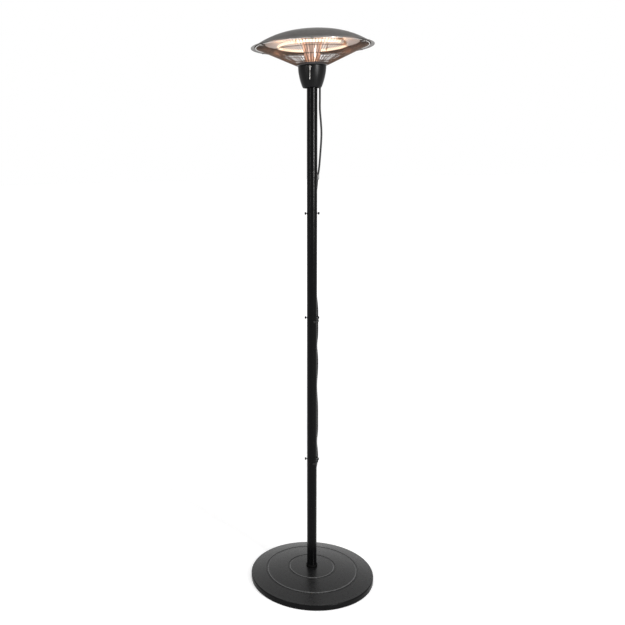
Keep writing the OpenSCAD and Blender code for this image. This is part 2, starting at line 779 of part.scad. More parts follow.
// Outer shape of the folded cable: a slab with round ends, standing on edge behind the pole
module cable_hank() {
    r = hank_r + cable_r;
    color([0.07, 0.07, 0.07]) translate([-hank_half_w, hank_y, hank_z]) rotate([90, 0, 90])
        linear_extrude(2 * hank_half_w) union() {
            translate([-r, -hank_run / 2]) square([2 * r, hank_run]);
            for (s = [-1, 1]) translate([0, s * hank_run / 2]) circle(r = r);
        }
}

module hank_tie() {
    x = hank_half_w;
    r = hank_r + cable_r;
    color([0.12, 0.12, 0.12]) translate([0, hank_y, hank_z - tie_w / 2]) difference() {
        translate([-x - tie_t, -r - tie_t, 0]) cube([2 * (x + tie_t), 2 * (r + tie_t), tie_w]);
        translate([-x, -r, -1]) cube([2 * x, 2 * r, tie_w + 2]);
    }
}

// Round mains plug with its own tapered sleeve and two pins
module plug() {
    body_z = plug_top_z - plug_relief_h - plug_body_h;
    color([0.07, 0.07, 0.07]) translate([0, plug_y, 0]) {
        rotate_extrude() polygon([
            [0, plug_top_z], [4.6, plug_top_z], [6.5, plug_top_z - plug_relief_h],
            [11, plug_top_z - plug_relief_h - 4], [14, body_z + 20], [plug_r, body_z + 14],
            [plug_r, body_z + 1], [plug_r - 1, body_z], [0, body_z]
        ]);
        for (s = [-1, 1]) translate([0, 9.5 * s, body_z - pin_l]) {
            translate([0, 0, pin_r]) cylinder(h = pin_l - pin_r + 1, r = pin_r, $fn = 32);
            translate([0, 0, pin_r]) sphere(r = pin_r, $fn = 32);
        }
    }
}

foot_ring();
base_plate();
base_weight();
base_cover();
base_bolt();
base_washer();
base_insert();
foot_collar();
pole_section_1();
pole_section_2();
pole_section_3();
pole_section_4();
joint_sleeve_1();
joint_sleeve_2();
joint_sleeve_3();
joint_screws();
cable_saddle();
cable_clip_mid();
cable_clip_low();
collar_shell();
collar_floor();
collar_screws();
head_socket();
head_socket_screws();
head_standoffs();
ring_plate();
plate_screws();
switch_body();
switch_slider();
cord_outlet();
pull_cord();
pull_knob();
terminal_block();
tip_over_switch();
strain_relief();
supply_wires();
centre_tube();
tube_nuts();
column();
reflector();
top_plate();
heat_shield();
dome_shade();
dome_spacers();
dome_screws();
guard_wires();
guard_rings();
guard_clips();
lamp_tube();
lamp_filament();
lamp_end_caps();
lamp_bracket();
lamp_clips();
lamp_wires();
cord_bracket();
mains_cable();
cable_hank();
cable_tail();
hank_tie();
plug();
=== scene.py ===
"""Visual model of a free-standing electric patio heater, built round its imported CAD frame.

Everything is in metres in the frame of the CAD, apart from the cable's route, which is in millimetres:
+Z is up, the origin is under the base's centre, and the front faces -Y.
"""

import json
import math

import bmesh
import bpy
from mathutils import Matrix, Vector


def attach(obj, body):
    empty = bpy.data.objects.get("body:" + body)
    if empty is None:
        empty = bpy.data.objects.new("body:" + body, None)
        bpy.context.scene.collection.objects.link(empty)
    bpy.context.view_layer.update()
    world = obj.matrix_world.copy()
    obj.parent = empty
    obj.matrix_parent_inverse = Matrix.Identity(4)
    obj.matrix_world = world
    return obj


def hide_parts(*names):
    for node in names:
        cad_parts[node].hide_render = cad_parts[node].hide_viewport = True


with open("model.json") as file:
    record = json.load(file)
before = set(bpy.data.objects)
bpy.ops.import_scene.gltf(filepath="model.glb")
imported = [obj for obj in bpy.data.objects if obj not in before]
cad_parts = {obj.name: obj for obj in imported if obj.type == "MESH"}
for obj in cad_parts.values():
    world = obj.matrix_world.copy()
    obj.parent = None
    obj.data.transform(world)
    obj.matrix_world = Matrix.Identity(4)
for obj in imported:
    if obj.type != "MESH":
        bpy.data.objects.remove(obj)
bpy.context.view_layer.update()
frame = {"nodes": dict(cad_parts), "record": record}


# ---------------------------------------------------------------- meshes

MERGE = 1e-6

def finish_mesh(name, bm, material, sharp=35.0):
    """Object from a bmesh, shaded smooth apart from edges sharper than the given angle."""
    bmesh.ops.recalc_face_normals(bm, faces=bm.faces)
    mesh = bpy.data.meshes.new(name)
    bm.to_mesh(mesh)
    bm.free()
    mesh.shade_smooth()
    mesh.set_sharp_from_angle(angle=math.radians(sharp))
    mesh.materials.append(material)
    obj = bpy.data.objects.new(name, mesh)
    bpy.context.scene.collection.objects.link(obj)
    return obj


def bored(obj, start, end, radius, sharp):
    """Cuts a round hole through a piece from one point to another."""
    bm = bmesh.new()
    add_tube(bm, [start, end], radius, 48)
    cutter = finish_mesh("cutter", bm, obj.data.materials[0])
    cut = obj.modifiers.new("cut", "BOOLEAN")
    cut.object, cut.operation, cut.solver = cutter, "DIFFERENCE", "EXACT"
    mesh = bpy.data.meshes.new_from_object(obj.evaluated_get(bpy.context.evaluated_depsgraph_get()))
    obj.modifiers.clear()
    obj.data = mesh
    mesh.set_sharp_from_angle(angle=math.radians(sharp))
    bpy.data.objects.remove(cutter)


def stands_for(obj, slot, *nodes, body="stand"):
    """Puts a piece on its body in place of the CAD nodes it is the look of."""
    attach(obj, body)
    if nodes:
        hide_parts(*nodes)
    return obj


def add_lathe(bm, profile, segments=96, at=(0, 0, 0), turn=None, closed=True, radius_at=None):
    """Turns a profile of (radius, height) pairs about the Z axis, then moves it to its place."""
    place = Matrix.Translation(at) @ (turn.to_4x4() if turn else Matrix())
    rings = []
    for r, z in profile:
        if r < 1e-7:
            rings.append([bm.verts.new(place @ Vector((0, 0, z)))])
            continue
        ring = []
        for k in range(segments):
            a = 2 * math.pi * k / segments
            q = radius_at(r, z, a) if radius_at else (r, z)
            ring.append(bm.verts.new(place @ Vector((q[0] * math.cos(a), q[0] * math.sin(a), q[1]))))
        rings.append(ring)
    pairs = list(zip(rings, rings[1:]))
    if closed and len(rings[0]) > 1 and len(rings[-1]) > 1:
        pairs.append((rings[-1], rings[0]))
    for lower, upper in pairs:
        for k in range(segments):
            n = (k + 1) % segments
            if len(lower) == 1 and len(upper) == 1:
                continue
            if len(lower) == 1:
                bm.faces.new((lower[0], upper[k], upper[n]))
            elif len(upper) == 1:
                bm.faces.new((lower[k], upper[0], lower[n]))
            else:
                bm.faces.new((lower[k], upper[k], upper[n], lower[n]))


def swept_rings(bm, points, radii, sides):
    """Rings of a round section carried along a list of points without twist."""
    points = [Vector(p) for p in points]
    last = len(points) - 1
    tangents = []
    for i in range(last + 1):
        before, after = points[max(i - 1, 0)], points[min(i + 1, last)]
        tangents.append((after - before).normalized())
    side = tangents[0].orthogonal().normalized()
    angles = [2 * math.pi * k / sides for k in range(sides)]
    rings = []
    for p, t, r in zip(points, tangents, radii):
        side = (side - t * side.dot(t)).normalized()
        up = t.cross(side)
        rings.append([bm.verts.new(p + r * (math.cos(a) * side + math.sin(a) * up)) for a in angles])
    return rings


def join_rings(bm, pairs):
    """Faces between the two rings of each pair."""
    for a, b in pairs:
        for k in range(len(a)):
            n = (k + 1) % len(a)
            bm.faces.new((a[k], b[k], b[n], a[n]))


def add_tube(bm, points, radius, sides):
    """Round bar along a list of points."""
    rings = swept_rings(bm, points, [radius] * len(points), sides)
    join_rings(bm, zip(rings, rings[1:]))
    bm.faces.new(rings[0])
    bm.faces.new(rings[-1])


def add_pipe(bm, points, radii, bore, sides):
    """Open pipe along a list of points."""
    outer = swept_rings(bm, points, radii, sides)
    inner = swept_rings(bm, points, [bore] * len(radii), sides)
    loop = outer + inner[::-1]
    join_rings(bm, zip(loop, loop[1:] + loop[:1]))


def add_screw_head(bm, profile, recess_r, recess_depth, at, segments):
    """Turned screw head with a hexagon recess in its end.

    The profile of (radius, height) pairs runs from the shank to the recess's rim.
    """
    place = Matrix.Translation(at)
    top = profile[-1][1]
    angles = [2 * math.pi * k / segments for k in range(segments)]
    rings = []
    for r, z in profile:
        rings.append([bm.verts.new(place @ Vector((r * math.cos(a), r * math.sin(a), z))) for a in angles])
    for z in (top, top - recess_depth):
        ring = []
        for a in angles:
            r = recess_r * math.cos(math.pi / 6) / math.cos((a % (math.pi / 3)) - math.pi / 6)
            ring.append(bm.verts.new(place @ Vector((r * math.cos(a), r * math.sin(a), z))))
        rings.append(ring)
    for lower, upper in zip(rings, rings[1:]):
        for k in range(segments):
            n = (k + 1) % segments
            bm.faces.new((lower[k], lower[n], upper[n], upper[k]))
    bm.faces.new(rings[0])
    bm.faces.new(rings[-1])


def softened(node, slot, material, width):
    """Copy of a CAD node with its edges broken, which stands for the node."""
    flat, edge = math.radians(1.0), math.radians(30)
    bm = bmesh.new()
    bm.from_mesh(frame["nodes"][node].data)
    bmesh.ops.remove_doubles(bm, verts=bm.verts, dist=MERGE)
    bmesh.ops.dissolve_limit(bm, angle_limit=flat, verts=bm.verts, edges=bm.edges)
    edges = [e for e in bm.edges if len(e.link_faces) == 2 and e.calc_face_angle(0.0) > edge]
    bmesh.ops.bevel(bm, geom=edges, offset=width, segments=2, profile=0.6, affect="EDGES", clamp_overlap=True)
    bmesh.ops.remove_doubles(bm, verts=bm.verts, dist=MERGE)
    return stands_for(finish_mesh("soft_" + node, bm, material), slot, node)


# ---------------------------------------------------------------- materials


class Shader:
    """Node material built up in steps from noise in the object's own coordinates."""

    def __init__(self, name, **values):
        self.material = bpy.data.materials.new(name)
        self.material.use_nodes = True
        self.tree = self.material.node_tree
        self.bsdf = self.tree.nodes["Principled BSDF"]
        for socket, value in values.items():
            self.bsdf.inputs[socket.replace("_", " ")].default_value = value
        self.place = self.tree.nodes.new("ShaderNodeTexCoord").outputs["Object"]

    def node(self, kind, links=(), **values):
        made = self.tree.nodes.new(kind)
        for key, value in values.items():
            if hasattr(made, key):
                setattr(made, key, value)
            else:
                made.inputs[key].default_value = value
        for socket, source in links:
            self.tree.links.new(source, made.inputs[socket])
        return made

    def noise(self, scale, detail=4.0, rough=0.55, stretch=(1, 1, 1)):
        mapped = self.node("ShaderNodeMapping", [("Vector", self.place)], Scale=stretch)
        links = [("Vector", mapped.outputs[0])]
        made = self.node("ShaderNodeTexNoise", links, Scale=scale, Detail=detail, Roughness=rough)
        return made.outputs["Fac"]

    def ramp(self, source, low, high, start=0.3, end=0.7):
        made = self.node("ShaderNodeValToRGB", [("Fac", source)])
        for stop, position, tone in zip(made.color_ramp.elements, (start, end), (low, high)):
            stop.position = position
            stop.color = (*tone, 1) if hasattr(tone, "__len__") else (tone, tone, tone, 1)
        return made.outputs["Color"]

    def colour(self, source, low, high, start=0.3, end=0.7):
        self.tree.links.new(self.ramp(source, low, high, start, end), self.bsdf.inputs["Base Color"])
        return self

    def roughness(self, source, low, high):
        self.tree.links.new(self.ramp(source, low, high), self.bsdf.inputs["Roughness"])
        return self

    def blend(self, factor, first, second):
        made = self.node("ShaderNodeMix", [("Factor", factor)], data_type="RGBA")
        self.tree.links.new(first, made.inputs[6])
        self.tree.links.new(second, made.inputs[7])
        self.tree.links.new(made.outputs[2], self.bsdf.inputs["Base Color"])
        return self

    def upward(self, low, high, start, end):
        """Ramp over how far the surface faces up."""
        normal = self.node("ShaderNodeNewGeometry").outputs["Normal"]
        facing = self.node("ShaderNodeSeparateXYZ", [("Vector", normal)])
        return self.ramp(facing.outputs["Z"], low, high, start, end)

    def bump(self, source, strength, distance):
        made = self.node("ShaderNodeBump", [("Height", source)], Strength=strength, Distance=distance)
        if self.bsdf.inputs["Normal"].is_linked:
            self.tree.links.new(self.bsdf.inputs["Normal"].links[0].from_socket, made.inputs["Normal"])
        self.tree.links.new(made.outputs["Normal"], self.bsdf.inputs["Normal"])
        return self


def tinted(colour, change):
    return tuple(min(1.0, c * change) for c in colour)


PAINT_SPREAD = 0.18


def powder_paint(name, colour, low, high, grain=900.0, bump=0.12, metallic=0.0, specular=0.5):
    """Powder-coated or sprayed metal: a fine orange peel, slow changes of tone and uneven gloss."""
    s = Shader(name, Metallic=metallic, Specular_IOR_Level=specular)
    s.colour(s.noise(26, 6, 0.65), tinted(colour, 1 - PAINT_SPREAD), tinted(colour, 1 + PAINT_SPREAD))
    s.roughness(s.noise(70, 5, 0.6), low, high)
    s.bump(s.noise(grain, 2, 0.5), bump, 0.0004)
    s.bump(s.noise(90, 3, 0.5), bump * 0.35, 0.0006)
    return s.material


def drawn_metal(name, colour, low, high, stretch=(1, 1, 0.04), scale=900.0, bump=0.08, spread=0.1):
    """Bare or plated metal with fine marks along one direction."""
    s = Shader(name, Metallic=1.0)
    s.colour(s.noise(40, 5, 0.6), tinted(colour, 1 - spread), tinted(colour, 1 + spread))
    s.roughness(s.noise(scale, 3, 0.6, stretch), low, high)
    s.bump(s.noise(scale, 2, 0.5, stretch), bump, 0.0002)
    return s.material


def moulded(name, colour, low, high, grain=1500.0, bump=0.12, spread=0.12, specular=0.4):
    """Moulded plastic or rubber with a fine spark-eroded grain."""
    s = Shader(name, Specular_IOR_Level=specular)
    s.colour(s.noise(55, 5, 0.6), tinted(colour, 1 - spread), tinted(colour, 1 + spread))
    s.roughness(s.noise(120, 4, 0.6), low, high)
    s.bump(s.noise(grain, 2, 0.5), bump, 0.0003)
    return s.material


MATERIALS = {
    "rubber": moulded("foot_rubber", (0.02, 0.02, 0.02), 0.72, 0.88, 800, 0.3),
    "black_steel": powder_paint("plate_paint", (0.03, 0.03, 0.03), 0.4, 0.55),
    "pole_paint": powder_paint("pole_paint", (0.002, 0.002, 0.0022), 0.16, 0.24, 1300, 0.05, specular=0.07),
    "collar_paint": powder_paint("collar_paint", (0.003, 0.0031, 0.0034), 0.3, 0.4, 1300, 0.1, specular=0.12),
    "dish_paint": powder_paint("dish_paint", (0.075, 0.075, 0.077), 0.3, 0.42, 1600, 0.08, metallic=0.7),
    "zinc_steel": drawn_metal("zinc_steel", (0.55, 0.56, 0.57), 0.25, 0.42),
    "cast_aluminium": drawn_metal("cast_aluminium", (0.55, 0.55, 0.56), 0.45, 0.62, (1, 1, 1), 500, 0.3),
    # Partly painted light: pale aluminium, tinted pink to stand in for the lamp's warm glow on it.
    "polished_aluminium": drawn_metal(
        "polished_aluminium", (0.92, 0.83, 0.77), 0.36, 0.48, (1, 1, 0.02), 700, 0.05, 0.05
    ),
    # Dark metal, tinted brown as painted light: the tint stands in for the lamp's warm glow on the wires.
    "guard_chrome": drawn_metal("guard_chrome", (0.11, 0.078, 0.062), 0.26, 0.4, (1, 1, 1), 600, 0.06),
    # Painted highlight: a much paler copy of the guard's metal for its rim hoop, standing in for the light
    # line along the rim.
    "rim_highlight_chrome": drawn_metal("rim_highlight_chrome", (0.62, 0.60, 0.58), 0.14, 0.24, (1, 1, 1), 600, 0.04),
    "nickel": drawn_metal("nickel", (0.34, 0.33, 0.32), 0.2, 0.34, (1, 1, 0.05), 1200, 0.05),
    "clip_steel": drawn_metal("clip_steel", (0.19, 0.18, 0.17), 0.4, 0.55, (1, 1, 1), 600, 0.06),
    "bracket_steel": drawn_metal("bracket_steel", (0.42, 0.3, 0.2), 0.3, 0.5, (1, 1, 1), 300, 0.1, 0.3),
    "black_plastic": moulded("black_plastic", (0.006, 0.006, 0.006), 0.36, 0.5, specular=0.16),
    "matt_plastic": moulded("matt_plastic", (0.003, 0.003, 0.003), 0.5, 0.66, specular=0.04),
    "saddle_plastic": moulded("saddle_plastic", (0.17, 0.17, 0.17), 0.42, 0.58),
    "grey_plastic": moulded("grey_plastic", (0.36, 0.36, 0.36), 0.42, 0.58),
    "cream_plastic": moulded("cream_plastic", (0.72, 0.69, 0.6), 0.4, 0.55),
    "red_plastic": moulded("red_plastic", (0.5, 0.05, 0.04), 0.25, 0.4),
    "cable_rubber": moulded("cable_rubber", (0.008, 0.008, 0.008), 0.38, 0.52, 1400, 0.1, specular=0.25),
    "wire_cover": moulded("wire_cover", (0.06, 0.1, 0.22), 0.35, 0.5),
    "ceramic": moulded("ceramic", (0.78, 0.75, 0.68), 0.6, 0.78, 700, 0.25, 0.06),
}


# The base's two grooves, and the ridge inside each: how far in it lies, and half the width of the painted
# highlight along it.
GROOVES, RIDGE_IN, RIDGE_LIT_HALF = (0.092, 0.181), 0.0044, 0.0021


def base_material():
    """Satin paint: glossy on the base's top, matt on its rim, with a painted highlight along each ridge."""
    s = Shader("base_paint")
    level = s.node("ShaderNodeMapping", [("Vector", s.place)], Scale=(1, 1, 0)).outputs[0]
    from_axis = s.node("ShaderNodeVectorMath", [("Vector", level)], operation="LENGTH")
    lit_ridges = []
    for at in GROOVES:
        off = s.node("ShaderNodeMath", operation="COMPARE")
        s.tree.links.new(from_axis.outputs["Value"], off.inputs[0])
        off.inputs[1].default_value = at - RIDGE_IN
        off.inputs[2].default_value = RIDGE_LIT_HALF
        lit_ridges.append(off.outputs[0])
    either = s.node("ShaderNodeMath", operation="MAXIMUM")
    s.tree.links.new(lit_ridges[0], either.inputs[0])
    s.tree.links.new(lit_ridges[1], either.inputs[1])
    paint = s.ramp(s.noise(26, 6, 0.65), (0.004, 0.004, 0.0042), (0.006, 0.006, 0.0063))
    # Painted highlight: a pale line on each ridge, much lighter than the paint, standing in for the light the
    # ridge catches.
    painted_highlight = s.ramp(s.noise(40, 6, 0.65), (0.06, 0.06, 0.061), (0.09, 0.09, 0.091))
    s.blend(either.outputs[0], paint, painted_highlight)
    s.roughness(s.noise(70, 5, 0.6), 0.24, 0.34)
    s.tree.links.new(s.upward(0.05, 0.95, 0.78, 0.975), s.bsdf.inputs["Specular IOR Level"])
    s.bump(s.noise(1100, 2, 0.5), 0.16, 0.0004)
    return s.bump(s.noise(90, 3, 0.5), 0.056, 0.0006).material


def shade_material():
    """Satin grey paint with metal flake, with painted light: paler where the surface faces up."""
    s = Shader("shade_paint", Metallic=0.75)
    clean = s.ramp(s.noise(26, 6, 0.65), (0.118, 0.111, 0.104), (0.150, 0.141, 0.133))
    # Painted light: the paler colour where the dome faces up stands in for light falling on its top.
    painted_top_light = s.upward(0, 1, 0.92, 0.988)
    s.blend(painted_top_light, clean, s.ramp(s.noise(60, 8, 0.7), (0.23, 0.227, 0.22), (0.31, 0.306, 0.298)))
    s.roughness(s.noise(70, 5, 0.6), 0.34, 0.48)
    s.bump(s.noise(1600, 2, 0.5), 0.1, 0.0004)
    return s.bump(s.noise(90, 3, 0.5), 0.035, 0.0006).material


def cement_material():
    """Cast cement: pale, pitted and dull."""
    s = Shader("cement")
    s.colour(s.noise(70, 9, 0.7), (0.3, 0.29, 0.27), (0.5, 0.49, 0.46))
    s.roughness(s.noise(200, 4), 0.8, 0.95)
    return s.bump(s.noise(260, 8, 0.7), 0.5, 0.0015).material


def woven_material(name, colour, scale):
    """Two crossed sets of threads for sleeves and straps."""
    s = Shader(name, Roughness=0.85)
    waves = []
    for direction in ("X", "Z"):
        wave = s.node(
            "ShaderNodeTexWave", [("Vector", s.place)],
            bands_direction=direction, Scale=scale, Distortion=0.6, Detail=1.0,
        )
        waves.append(wave.outputs["Fac"])
    mixed = s.node("ShaderNodeMath", operation="MULTIPLY")
    s.tree.links.new(waves[0], mixed.inputs[0])
    s.tree.links.new(waves[1], mixed.inputs[1])
    s.colour(mixed.outputs[0], tinted(colour, 0.6), tinted(colour, 1.2), 0.05, 0.7)
    s.roughness(s.noise(300), 0.78, 0.95)
    return s.bump(mixed.outputs[0], 0.5, 0.0004).material


def glow_material(name, colour, glow, strength, low, high, scale):
    """Hot surface whose light changes a little along it."""
    s = Shader(name, Roughness=0.4, Emission_Strength=strength)
    s.colour(s.noise(scale, 3), tinted(colour, 0.85), colour)
    light = s.ramp(s.noise(scale, 3), tinted(glow, low), tinted(glow, high))
    s.tree.links.new(light, s.bsdf.inputs["Emission Color"])
    s.roughness(s.noise(scale * 2), 0.3, 0.5)
    return s.material


# Painted shade: a dark brown copy of the dome's paint for its underside, standing in for the shadow and the
# lamp's warm light there.
MATERIALS["painted_shade_inside"] = powder_paint(
    "painted_shade_inside", (0.014, 0.011, 0.009), 0.5, 0.66, 1200, 0.1, metallic=0.2, specular=0.2
)
MATERIALS["base_paint"] = base_material()
MATERIALS["shade_paint"] = shade_material()
# Painted light: the coppery tone of the column's aluminium stands in for the lamp's orange glow reflected in
# it.
MATERIALS["column_metal"] = drawn_metal(
    "column_metal", (0.42, 0.33, 0.285), 0.26, 0.34, (1, 1, 0.02), 700, 0.04, 0.06
)
MATERIALS["cement"] = cement_material()
MATERIALS["strap"] = woven_material("strap", (0.022, 0.022, 0.023), 260)
MATERIALS["wire_sleeve"] = woven_material("wire_sleeve", (0.7, 0.66, 0.58), 420)
MATERIALS["filament"] = glow_material(
    "filament", (0.9, 0.6, 0.3), (1.0, 0.6, 0.28), 30.0, 0.85, 1.0, 120
)
MATERIALS["quartz"] = glow_material(
    "quartz", (0.95, 0.85, 0.7), (1.0, 0.86, 0.66), 1.05, 0.92, 1.0, 60
)

for entry in frame["record"]["subparts"]:
    node = frame["nodes"][entry["node"]]
    node.data.materials.clear()
    node.data.materials.append(MATERIALS[entry["material_slot"]])


# ---------------------------------------------------------------- camera

# The camera stands on the YZ plane in front of the heater, and the shift frames it as the photo does.
SENSOR_MM, LENS_MM, SHIFT_X = 36.0, 43.14816, 0.14664
CAMERA_Y, CAMERA_Z = -2.8019, 1.6377
YAW, TILT, ROLL = math.radians(7.065), math.radians(10.957), math.radians(-1.31)
level = Vector((-math.sin(YAW), math.cos(YAW), 0))
right = Vector((math.cos(YAW), math.sin(YAW), 0))
ahead = level * math.cos(TILT) - Vector((0, 0, math.sin(TILT)))
above = level * math.sin(TILT) + Vector((0, 0, math.cos(TILT)))
side = right * math.cos(ROLL) + above * math.sin(ROLL)
upward = above * math.cos(ROLL) - right * math.sin(ROLL)

camera_data = bpy.data.cameras.new("camera")
camera_data.sensor_width = SENSOR_MM
camera_data.lens = LENS_MM
camera_data.shift_x = SHIFT_X
camera = bpy.data.objects.new("camera", camera_data)
bpy.context.scene.collection.objects.link(camera)
camera.matrix_world = Matrix((
    (side.x, upward.x, -ahead.x, 0.0),
    (side.y, upward.y, -ahead.y, CAMERA_Y),
    (side.z, upward.z, -ahead.z, CAMERA_Z),
    (0, 0, 0, 1),
))
bpy.context.scene.camera = camera


# ---------------------------------------------------------------- mains cable

CABLE_R = 0.0035
# Millimetres, from the gland down to the hank. TAIL goes on from the hank to the plug.
ROUTE = [
    (27.6, 0, 1905), (27.6, 0, 1870), (27.6, 0, 1838), (29.5, 1, 1812), (31.5, 2, 1789), (33.5, 2, 1754),
    (32.5, 3, 1719), (30.5, 5, 1690), (28.5, 7, 1662), (24.5, 8, 1620), (20.5, 9.5, 1595), (17, 15, 1560),
    (13, 19, 1510), (11, 20, 1464), (11, 20, 1400), (11, 20, 1300), (12, 19.5, 1200), (16, 16, 1150),
    (20, 10.5, 1110), (20.5, 9.5, 1060), (20, 10.5, 1000), (17, 15, 960), (20, 10.5, 915),
    (20, 10.5, 865), (16.5, 15.5, 800), (20, 10.5, 725), (20.5, 9.5, 665), (20, 10.5, 615),
    (17, 15, 570), (20, 10.5, 535), (20.5, 9.5, 505), (18, 14, 478), (14, 19, 450), (13, 24.5, 420),
    (13.2, 31, 387), (13.2, 34.5, 362),
]
TAIL = [(0, 28, 242), (0, 29, 228), (0, 32, 210), (0, 37, 190), (0, 40, 170)]
# Millimetres: the hank's middle, half the length of its straight runs, its turns and half its width.
HANK_Y, HANK_Z, HANK_HALF = 56.0, 300.0, 45.0
INNER_TURN_R, OUTER_TURN_R, HANK_SIDE = 21.0, 28.0, 13.2


def hank_points():
    """Four inner turns of the folded cable from right to left, then two outer ones back to the middle."""
    points = []

    def turns(count, radius, x_from, x_to):
        pitch = (x_to - x_from) / count
        for turn in range(count):
            stops = []
            for k in range(1, 5):
                stops.append((HANK_Y - radius, HANK_Z + HANK_HALF * (1 - k / 2)))
            for k in range(1, 8):
                a = math.pi * k / 8
                stops.append((HANK_Y - radius * math.cos(a), HANK_Z - HANK_HALF - radius * math.sin(a)))
            for k in range(0, 5):
                stops.append((HANK_Y + radius, HANK_Z - HANK_HALF * (1 - k / 2)))
            for k in range(1, 8):
                a = math.pi * k / 8
                stops.append((HANK_Y + radius * math.cos(a), HANK_Z + HANK_HALF + radius * math.sin(a)))
            stops.append((HANK_Y - radius, HANK_Z + HANK_HALF))
            for i, (y, z) in enumerate(stops):
                share = min(1.0, max(0.0, (i - 12) / (len(stops) - 13)))
                points.append((x_from + pitch * (turn + share), y, z))

    turns(4, INNER_TURN_R, HANK_SIDE, -HANK_SIDE)
    turns(2, OUTER_TURN_R, -HANK_SIDE, 0.0)
    return points


cable_points = [Vector(p) / 1000 for p in [*ROUTE, *hank_points(), *TAIL]]
curve = bpy.data.curves.new("power_cable", "CURVE")
curve.dimensions = "3D"
curve.bevel_depth = CABLE_R
curve.bevel_resolution = 4
curve.resolution_u = 4
run = curve.splines.new("BEZIER")
run.bezier_points.add(len(cable_points) - 1)
for point, place in zip(run.bezier_points, cable_points):
    point.co = place
    point.handle_left_type = point.handle_right_type = "AUTO"
curve.materials.append(MATERIALS["cable_rubber"])
power_cable = bpy.data.objects.new("power_cable", curve)
bpy.context.scene.collection.objects.link(power_cable)
stands_for(power_cable, "cable_rubber", "mains_cable", "cable_hank", "cable_tail")


def make_plug():
    """Round mains plug: ribbed sleeve, waisted body with finger grips, and two round pins."""
    bm = bmesh.new()
    y, top = 0.040, 0.170
    profile = [(0.0036, 0.1695), (0.0046, 0.170)]
    for k in range(6):
        z = top - 0.0025 - 0.0036 * k
        r = 0.0047 + 0.00028 * k
        profile += [(r, z), (r - 0.0008, z - 0.0006), (r - 0.0008, z - 0.0018), (r + 0.0002, z - 0.0024)]
    profile += [(0.0066, 0.1455), (0.0090, 0.1428), (0.0112, 0.1400), (0.0124, 0.1320), (0.0136, 0.1215)]
    profile += [
        (0.0152, 0.1165), (0.0172, 0.1125), (0.0179, 0.1090), (0.0180, 0.0995), (0.0176, 0.0978),
        (0.0168, 0.0971), (0, 0.0971),
    ]

    def grips(r, z, a):
        if 0.118 < z < 0.141:
            return (r * (1 - 0.09 * max(0.0, math.cos(2 * a)) ** 3), z)
        return (r, z)

    add_lathe(bm, profile, 96, (0, y, 0), closed=False, radius_at=grips)
    plug_body = finish_mesh("plug_body", bm, MATERIALS["cable_rubber"], 40)
    stands_for(plug_body, "cable_rubber", "plug")
    bm = bmesh.new()
    for s in (-1, 1):
        pin = [(0.0024, 0.0975), (0.0024, 0.0812)]
        pin += [(0.0024 * math.cos(a), 0.0804 - 0.0024 * math.sin(a)) for a in (0.3, 0.6, 0.9, 1.2, 1.45)]
        add_lathe(bm, pin + [(0, 0.0780)], 32, (0, y + 0.0095 * s, 0), closed=False)
    plug_pins = stands_for(finish_mesh("plug_pins", bm, MATERIALS["nickel"]), "nickel")
    return [plug_body, plug_pins]


def make_tie():
    """Hook-and-loop strap round the folded cable, with its loose end lapped over."""
    bm = bmesh.new()
    half_x, half_y, corner = 0.0176, 0.0324, 0.006
    section = [(-0.0004, -0.0078), (0.0004, -0.0078), (0.0005, 0)]
    section += [(0.0004, 0.0078), (-0.0004, 0.0078), (-0.0005, 0)]
    path = []
    for cx, cy, start in ((1, 1, 0), (-1, 1, 90), (-1, -1, 180), (1, -1, 270)):
        for k in range(7):
            a = math.radians(start + 15 * k)
            x = cx * (half_x - corner) + corner * math.cos(a)
            y = cy * (half_y - corner) + corner * math.sin(a)
            path.append((x, y))
    path.append(path[0])
    for first, last, out in ((0, len(path), 0.0), (5, 12, 0.0009)):
        rings = []
        for x, y in path[first:last]:
            n = Vector((x / half_x, y / half_y, 0)).normalized()
            base = Vector((x, 0.056 + y, 0.300)) + n * out * 0.5
            rings.append([bm.verts.new(base + n * d + Vector((0, 0, z))) for d, z in section])
        for a, b in zip(rings, rings[1:]):
            for k in range(6):
                bm.faces.new((a[k], b[k], b[(k + 1) % 6], a[(k + 1) % 6]))
        bm.faces.new(rings[0])
        bm.faces.new(rings[-1])
    return stands_for(finish_mesh("cable_strap", bm, MATERIALS["strap"], 50), "strap", "hank_tie")


plug_pieces = make_plug()
strap = make_tie()
bm = bmesh.new()
sleeve = [(0.0036, 1.905), (0.0037, 1.905), (0.00375, 1.9105)]
for k in range(4):
    z, r = 1.9115 + 0.0042 * k, 0.0040 + 0.0006 * k
    sleeve += [(r + 0.0006, z), (r, z + 0.0007), (r, z + 0.0021), (r + 0.0006, z + 0.0028)]
sleeve += [
    (0.0066, 1.9278), (0.0050, 1.9282), (0.0050, 1.9308), (0.0068, 1.9312), (0.0068, 1.9350),
    (0.0036, 1.9350),
]
add_lathe(bm, sleeve, 48, (0.0276, 0, 0))
cable_gland = finish_mesh("cable_gland", bm, MATERIALS["cable_rubber"])
stands_for(cable_gland, "cable_rubber", "strain_relief")


# ---------------------------------------------------------------- base

BASE_R, BASE_H, EDGE_H, EDGE_ROUND = 0.244, 0.049, 0.024, 0.005
GROOVE_HALF, GROOVE_DEPTH, RIDGE_HALF, RIDGE_RISE = 0.003, 0.0017, 0.0018, 0.0008


def base_top(r):
    """Height of the base cover's top at radius r, with its two pressed grooves and their ridges."""
    z = BASE_H - (BASE_H - EDGE_H) * (r / (BASE_R - EDGE_ROUND)) ** 2.2
    for at in GROOVES:
        if abs(r - at) < GROOVE_HALF:
            z -= GROOVE_DEPTH * math.cos(math.pi * (r - at) / (2 * GROOVE_HALF))
        elif abs(r - at + RIDGE_IN) < RIDGE_HALF:
            z += RIDGE_RISE * math.cos(math.pi * (r - at + RIDGE_IN) / (2 * RIDGE_HALF))
    return z


